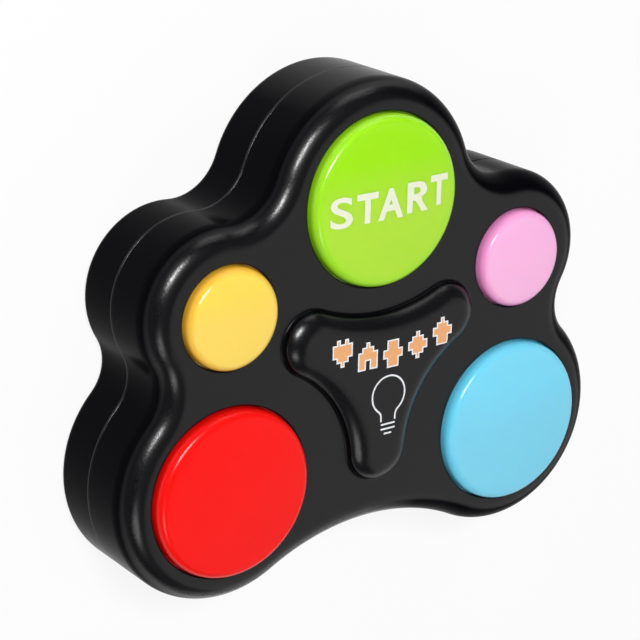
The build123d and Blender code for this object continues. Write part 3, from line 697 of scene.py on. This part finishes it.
for side in (-1, 1):
    turned(rear, (side * door_screw_reach, bay[1]), (boss_pocket, recess_floor), [
        (0, boss_pocket_top - recess_floor),
        (door_screw_hole - boss_pocket, 0),
        (0, door_hole_top - boss_pocket_top),
        (-door_screw_hole, 0),
    ], 36)


def screw_places():
    """Places of the five case screws, one beside the middle of each valley."""
    places = []
    for index in (1, 3, 5):
        centre, radius, _ = body_rounds[index]
        before = bearing(centre, body_rounds[index - 1][0])
        after = bearing(centre, body_rounds[index + 1][0]) if index < 5 else 180 - before
        middle = radians(before + ((after - before) % 360) / 2)
        reach = radius + screw_inset
        place = (centre.x + reach * cos(middle), centre.y + reach * sin(middle))
        places.append(place)
        if index < 5:
            places.append((-place[0], place[1]))
    return places


for place in screw_places():
    turned(rear, place, (head_hole + back_rounding + ease, 0), [
        (-ease, 0),
        (head_hole + back_rounding, back_rounding, -90, 4),
        (0, head_hole_depth - back_rounding),
        (shank_hole - head_hole, 0),
        (0, tube_top - head_hole_depth),
        (tube_radius - shank_hole, 0),
        (0, wall - tube_top),
    ], 36)
for ring, count in grille_rings:
    for number in range(count):
        angle = 2 * pi * number / count
        reach = ring * grille_pitch
        place = (reach * cos(angle), keys["green"][1] + reach * sin(angle))
        turned(rear, place, (grille_hole + grille_rounding + ease, 0), [
            (-ease, 0),
            (grille_hole + grille_rounding, grille_rounding, -90, 3),
            (0, wall - grille_rounding),
        ], 20)
bmesh.ops.remove_doubles(rear, verts=rear.verts, dist=join)
for height in (0, wall, recess_floor, bay_ceiling, block_top, bay_roof):
    fill_level(rear, height)
make_piece("rear_shell_gloss", rear, "housing", [shell_finish], ["rear_shell"])

# Battery door

door = bmesh.new()
door_half = (recess_half[0] - door_gap, recess_half[1] - door_gap)
profile = draw_profile(door, (0, bay[1] + door_half[1]), AWAY, (-back_rounding - ease, door_low), [
    (ease, 0),
    (-back_rounding, door_low + back_rounding, 90, 4),
    (0, door_high - door_low - back_rounding),
])
carry(door, profile, half_rounded_box(door_half, recess_corner - door_gap))
mirror_half(door)
opening = door_head_hole + door_hole_rounding
for side in (-1, 1):
    turned(door, (side * door_screw_reach, bay[1]), (opening + ease, door_low), [
        (-ease, 0),
        (opening, door_low + door_hole_rounding, -90, 3),
        (0, door_screw_seat - door_low - door_hole_rounding),
        (door_shank_hole - door_head_hole, 0),
        (0, door_boss_top - door_screw_seat),
        (door_boss_radius - door_shank_hole, 0),
        (0, door_high - door_boss_top),
    ], 40)
bmesh.ops.remove_doubles(door, verts=door.verts, dist=join)
for height in (door_low, door_high):
    fill_level(door, height)
make_piece("battery_door_panel", door, "battery_door", [shell_finish], ["battery_door"])

# Keys


def dome_of(radius):
    """Radius and centre height of the sphere that a key's top is cut from."""
    sagitta = radius * dome_share
    sphere = (radius ** 2 + sagitta ** 2) / (2 * sagitta)
    return sphere, face + key_rise + sagitta - sphere


for name, (x, y, radius) in keys.items():
    sphere, middle = dome_of(radius)
    rim = radius - key_edge
    rim_height = sqrt((sphere - key_edge) ** 2 - rim ** 2)
    lean = degrees(atan2(rim_height, rim))
    inner = radius - key_wall
    under = sphere - key_wall
    inner_top = sqrt(under ** 2 - inner ** 2)
    post_top = sqrt(under ** 2 - post_radius ** 2)
    hollow_turn = degrees(atan2(post_top, post_radius)) - degrees(atan2(inner_top, inner))
    cap = bmesh.new()
    turned(cap, (x, y), (0, middle + sphere), [
        (0, middle, lean - 90, 20),
        (rim, middle + rim_height, -lean, 12),
        *straight(flange_top - middle - rim_height),
        (flange_width, 0),
        (0, -flange_width),
        (inner - radius - flange_width, 0),
        (0, middle + inner_top - flange_top + flange_width),
        (0, middle, hollow_turn, 8),
        (0, post_foot - middle - post_top),
        (-post_radius, 0),
    ], 128)
    make_piece(
        f"{name}_key_cap", cap, f"button_{name}", [key_finishes[name]], [f"key_{name}"])

# Rubber domes, each a piece on no body; on the real toy their flanges stay on the board while their crowns
# go down with the keys

crown_top = post_foot - dome_play
skirt_top = crown_foot_height + dome_flange
for name, (x, y, _) in keys.items():
    dome = bmesh.new()
    turned(dome, (x, y), (0, crown_top), [
        (post_radius - crown_round, 0),
        (post_radius - crown_round, crown_top - crown_round, -90, 5),
        (0, board_top + skirt_top - crown_top + crown_round),
        *sloped(dome_radius - post_radius, dome_flange - skirt_top),
        (0, -dome_flange),
        (-dome_web, 0),
        *sloped(pill_radius + dome_web - dome_radius, crown_foot_height),
        (-pill_radius, 0),
    ], 48)
    piece = make_piece(f"{name}_rubber_dome", dome, None, [dome_finish], [f"dome_{name}"])
    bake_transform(piece)

# Word on the top key, thickened from the plain built-in letters and laid on the dome


def add_letter(bm, letter, centre, width, height, weight, bowl):
    """Adds a plain flat capital that fills a box on the face. Its strokes grow by weight, and its upper
    part is drawn out to the right by bowl, as a share of its width."""
    curve = bpy.data.curves.new("letter", "FONT")
    curve.body = letter
    curve.offset = weight
    curve.resolution_u = 6
    holder = bpy.data.objects.new("letter", curve)
    bpy.context.scene.collection.objects.link(holder)
    bpy.context.view_layer.update()
    mesh = bpy.data.meshes.new_from_object(holder)
    bpy.data.objects.remove(holder)
    bpy.data.curves.remove(curve)
    low = Vector([min(v.co[axis] for v in mesh.vertices) for axis in range(3)])
    high = Vector([max(v.co[axis] for v in mesh.vertices) for axis in range(3)])
    fit = Matrix.Diagonal((width / (high - low).x, height / (high - low).y, 1, 1))
    mesh.transform(fit @ Matrix.Translation((low + high) / -2))
    for v in mesh.vertices:
        rise = min(1, max(0, 4 * v.co.y / height + 0.6))
        v.co.x += bowl * rise * (v.co.x + width / 2)
    mesh.transform(Matrix.Translation((*centre, 0)))
    bm.from_mesh(mesh)
    bpy.data.meshes.remove(mesh)


def slice_flat(bm, pitch):
    """Cuts a flat mesh into squares, so that it can follow a curved surface."""
    for axis in (RIGHT, AWAY):
        places = [v.co.dot(axis) for v in bm.verts]
        cut = min(places) + pitch
        while cut < max(places):
            geometry = [*bm.verts, *bm.edges, *bm.faces]
            bmesh.ops.bisect_plane(bm, geom=geometry, plane_co=axis * cut, plane_no=axis, dist=join)
            cut += pitch


def thicken(bm, low):
    """Gives a flat mesh the thickness of ink, upwards from a height or from a function of the place."""
    for v in bm.verts:
        v.co.z = low(v.co) if callable(low) else low
    made = bmesh.ops.extrude_face_region(bm, geom=[*bm.faces], use_keep_orig=True)
    raised = [part for part in made["geom"] if isinstance(part, bmesh.types.BMVert)]
    bmesh.ops.translate(bm, vec=(0, 0, ink_thickness), verts=raised)


letter_join = 0.04
slice_pitch = 1.6
word = bmesh.new()
for letter, centre, width, height, weight, bowl in (
    ("S", (-16.05, 36.6), 7.05, 8.6, 0.016, 0),
    ("T", (-7.8, 36.8), 6.9, 8.4, 0.036, 0),
    ("A", (-0.05, 37.0), 8.5, 8.6, 0.034, 0),
    ("R", (9.15, 37.5), 7.45, 8.6, 0.026, 0.25),
    ("T", (16.7, 38.25), 6.2, 8.65, 0.038, 0),
):
    add_letter(word, letter, centre, width, height, weight, bowl)
bmesh.ops.remove_doubles(word, verts=word.verts, dist=letter_join)
slice_flat(word, slice_pitch)
green_x, green_y, green_radius = keys["green"]
green_sphere, green_middle = dome_of(green_radius)
thicken(word, lambda co: green_middle - ink_sunk + sqrt(
    green_sphere ** 2 - (co.x - green_x) ** 2 - (co.y - green_y) ** 2))
make_piece("start_word", word, "button_green", [key_ink], sharp=20)

# Row of small shapes on the pad, each on a grid of squares: a white border round a peach middle

square_size = 1.34
border = 0.42
grid_columns = 5
grid_rows = 6
row_middle = (2.0, -6.0)
row_pitch = 8.6
row_sag = 0.011
row_shapes = [
    ("01010", "11111", "11111", "11111", "01110", "00100"),
    ("00100", "01110", "11111", "11111", "11011", "11011"),
    ("01110", "01110", "11111", "11111", "01110", "01110"),
    ("00100", "01110", "11111", "11111", "01110", "00100"),
    ("00100", "01110", "11111", "11111", "01110", "01110"),
]


def above_pad(co):
    """Height just under the pad's surface."""
    return front_surface.ray_cast(Vector((co.x, co.y, 2 * face)), -UP)[0].z - ink_sunk


for number, rows in enumerate(row_shapes, 1):
    along = (number - (len(row_shapes) + 1) / 2) * row_pitch
    place = (row_middle[0] + along, row_middle[1] + row_sag * along ** 2)
    shape = bmesh.new()
    bmesh.ops.create_grid(shape, x_segments=grid_columns, y_segments=grid_rows, size=0.5)
    unwanted = []
    for square in shape.faces:
        middle = square.calc_center_median()
        across = int((middle.x + 0.5) * grid_columns)
        down = int((0.5 - middle.y) * grid_rows)
        if rows[down][across] == "0":
            unwanted.append(square)
    bmesh.ops.delete(shape, geom=unwanted, context="FACES")
    grown = (grid_columns * square_size, grid_rows * square_size, 1)
    bmesh.ops.scale(shape, vec=grown, verts=shape.verts)
    bmesh.ops.translate(shape, vec=(*place, 0), verts=shape.verts)
    ring = bmesh.ops.inset_region(
        shape, faces=shape.faces, thickness=border, use_boundary=True, use_even_offset=True)
    for square in ring["faces"]:
        square.material_index = 1
    thicken(shape, above_pad)
    make_piece(f"pad_shape_{number}", shape, "housing", [peach_ink, white_ink], sharp=20)

# Lamp drawn in white lines on the foot of the pad

line = 0.5
icon_place = (0.9, -20.6)
bulb_radius = 5.6
neck_half = 2.4
neck_round = 2.6
neck_length = 1.2
bulb_rise = 2.6
# Each bar under the neck: how far down it is, and half its length
socket_bars = ((2.1, 2.4), (3.5, 2.4), (4.9, 1.3))
neck_drop = sqrt((bulb_radius + neck_round) ** 2 - (neck_half + neck_round) ** 2)
neck_turn = degrees(atan2(neck_drop, neck_half + neck_round))
bulb_place = (icon_place[0], icon_place[1] + bulb_rise)
neck_level = bulb_place[1] - neck_drop


def ribbon(bm, start, end, moves):
    """Draws a flat line: its starting edge is carried along turns and runs."""
    ends = [bm.verts.new((*start, 0)), bm.verts.new((*end, 0))]
    carry(bm, [*ends, bm.edges.new(ends)], moves)


icon = bmesh.new()
x, y = bulb_place
left = x - neck_half
neck_foot = neck_level - neck_length
ribbon(icon, (left - line / 2, neck_foot), (left + line / 2, neck_foot), [
    run((0, neck_length)),
    turn((left - neck_round, neck_level), neck_turn, 8),
    turn((x, y), -180 - 2 * neck_turn, 60),
    turn((x + neck_half + neck_round, neck_level), neck_turn, 8),
    run((0, -neck_length)),
])
for drop, half in socket_bars:
    bar = neck_level - drop
    ribbon(icon, (x - half, bar - line / 2), (x - half, bar + line / 2), [run((2 * half, 0), 4)])
thicken(icon, above_pad)
make_piece("pad_lamp_icon", icon, "housing", [white_ink], sharp=20)

# Stage: floor with a low backdrop round it, lights and camera, in metres

floor_reach = 6.0
backdrop_height = 1.2
floor_shade = (0.82, 0.82, 0.82, 1)
glow_share = 0.86
floor_finish = Finish("pale_floor")
camera_rays, glossy_rays, passing_rays = (
    floor_finish.node("ShaderNodeLightPath", output=f"Is {kind} Ray")
    for kind in ("Camera", "Glossy", "Transmission"))
rays = camera_rays + glossy_rays + passing_rays
seen = rays.maths("MINIMUM", rays, 1.0)
matt = floor_finish.node("ShaderNodeBsdfDiffuse", inputs={"Color": floor_shade})
glow = floor_finish.node("ShaderNodeEmission", inputs={"Color": (1, 1, 1, 1), "Strength": 1.0})
mixed = floor_finish.node("ShaderNodeMixShader", inputs={0: seen * glow_share, 1: matt, 2: glow})
floor_finish.node("ShaderNodeOutputMaterial", inputs={"Surface": mixed})
ground = bmesh.new()
bmesh.ops.create_circle(ground, cap_ends=True, segments=64, radius=floor_reach)
rim = [e for e in ground.edges if e.is_boundary]
carry(ground, [*{v for e in rim for v in e.verts}, *rim], [run((0, 0, backdrop_height))])
bmesh.ops.recalc_face_normals(ground, faces=ground.faces)
bmesh.ops.reverse_faces(ground, faces=ground.faces)
floor_mesh = bpy.data.meshes.new("floor")
ground.to_mesh(floor_mesh)
ground.free()
floor_mesh.materials.append(floor_finish.material)
floor = bpy.data.objects.new("floor", floor_mesh)
bpy.context.scene.collection.objects.link(floor)

world = bpy.data.worlds.new("studio")
bpy.context.scene.world = world
world.use_nodes = True
world.node_tree.nodes["Background"].inputs["Color"].default_value = (1, 1, 1, 1)
world.node_tree.nodes["Background"].inputs["Strength"].default_value = 0.15


def softbox(name, direction, distance, width, height, watts):
    """Flat lamp that looks at the middle of the object."""
    lamp = bpy.data.lights.new(name, "AREA")
    lamp.shape = "RECTANGLE"
    lamp.size = width
    lamp.size_y = height
    lamp.energy = watts
    holder = bpy.data.objects.new(name, lamp)
    direction = Vector(direction).normalized()
    holder.location = direction * distance
    holder.rotation_euler = direction.to_track_quat("Z", "Y").to_euler()
    bpy.context.scene.collection.objects.link(holder)


softbox("key_light", (-0.36, 0.42, 0.84), 1.15, 0.42, 0.13, 11.2)
softbox("side_light", (-0.42, -0.52, 0.74), 1.1, 0.32, 0.32, 1.5)
softbox("back_light", (0.25, 0.85, 0.42), 1.2, 0.6, 0.5, 1.6)
softbox("broad_light", (0.63, -0.43, 0.58), 1.5, 1.8, 1.6, 4.6)

# Camera, from the left and above, close enough for its slight perspective

look = Vector((0.5548, -0.3312, -0.7633)).normalized()
aim = Vector((-19.82, 6.49, 34.59)) * MM
distance = 577.3 * MM
roll = 0.019
level = look.cross(AWAY).normalized()
rise = level.cross(look)
right = level * cos(roll) + rise * sin(roll)
top = rise * cos(roll) - level * sin(roll)
camera_data = bpy.data.cameras.new("camera")
camera_data.sensor_width = 36.0
camera_data.lens = 120.85
camera_data.clip_start = 0.01
camera = bpy.data.objects.new("camera", camera_data)
facing = Matrix((right, top, -look)).transposed().to_4x4()
camera.matrix_world = Matrix.Translation(aim - look * distance) @ facing
bpy.context.scene.collection.objects.link(camera)
bpy.context.scene.camera = camera
bpy.context.scene.view_settings.view_transform = "Standard"
